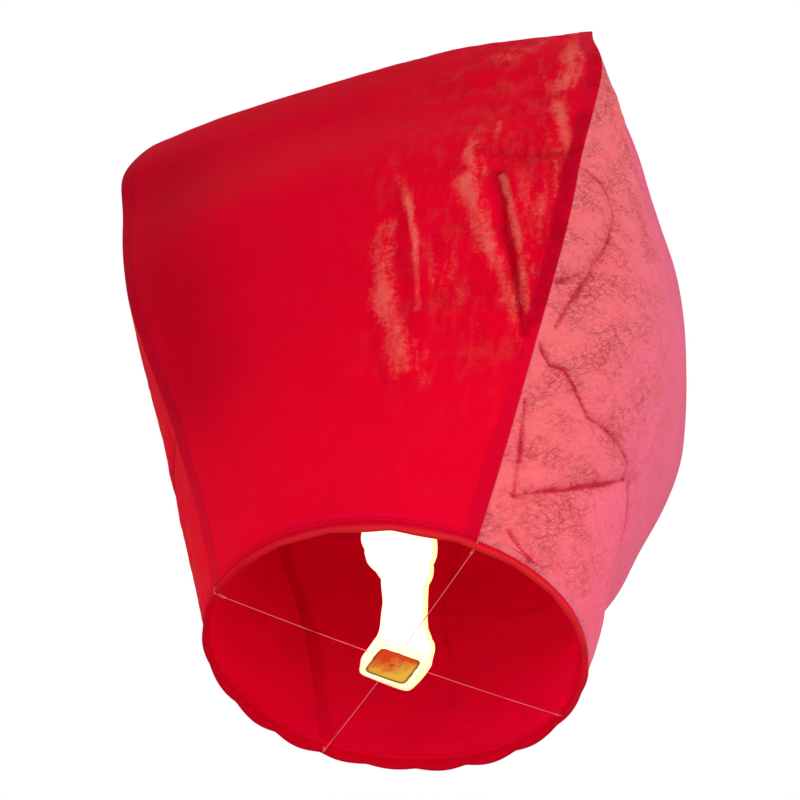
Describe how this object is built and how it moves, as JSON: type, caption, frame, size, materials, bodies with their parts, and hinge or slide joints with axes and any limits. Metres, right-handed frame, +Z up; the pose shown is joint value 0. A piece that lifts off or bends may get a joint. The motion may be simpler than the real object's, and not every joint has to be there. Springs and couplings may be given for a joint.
{
  "type": "sky lantern",
  "caption": "Flying paper lantern: a gabled tissue paper bag on a bamboo hoop, with crossed wires and a waxed paper fuel cell.",
  "frame": {"origin": "centre of the bamboo hoop, in the hoop's mid plane", "axes": "+Z runs up from the mouth to the ridge; the ridge seam runs along X; the front panel faces -Y"},
  "size_m": [0.6509, 0.566, 1.0094],
  "materials": {
    "front_paper": "thin red tissue paper, slightly glossy, lets light through",
    "side_paper": "thin red tissue paper, creased, pale where light falls on it",
    "seam_paper": "red tissue paper glued double",
    "bamboo": "split bamboo, unvarnished",
    "thread": "waxed cotton thread",
    "steel_wire": "thin annealed iron wire",
    "waxed_paper": "soft paper sheets soaked in wax"
  },
  "bodies": {
    "root": {"front_panel": "front_paper", "back_panel": "front_paper", "right_panel": "side_paper", "left_panel": "front_paper", "bamboo_hoop": "bamboo", "hoop_binding_a": "thread", "hoop_binding_b": "thread", "cross_wire_a": "steel_wire", "cross_wire_b": "steel_wire", "fuel_sheet_1": "waxed_paper", "fuel_sheet_2": "waxed_paper", "fuel_sheet_3": "waxed_paper", "fuel_sheet_4": "waxed_paper", "fuel_sheet_5": "waxed_paper", "fuel_sheet_6": "waxed_paper", "fuel_sheet_7": "waxed_paper", "fuel_sheet_8": "waxed_paper", "cell_tie": "steel_wire"},
    "ridge": {"ridge_seam": "seam_paper"}
  },
  "joints": [
    {"name": "bag_collapse", "type": "slide", "parent": "root", "child": "ridge", "axis": [0, 0, -1], "range_m": [0, 0.86], "deforming": ["front_panel", "right_panel", "back_panel", "left_panel"]}
  ]
}
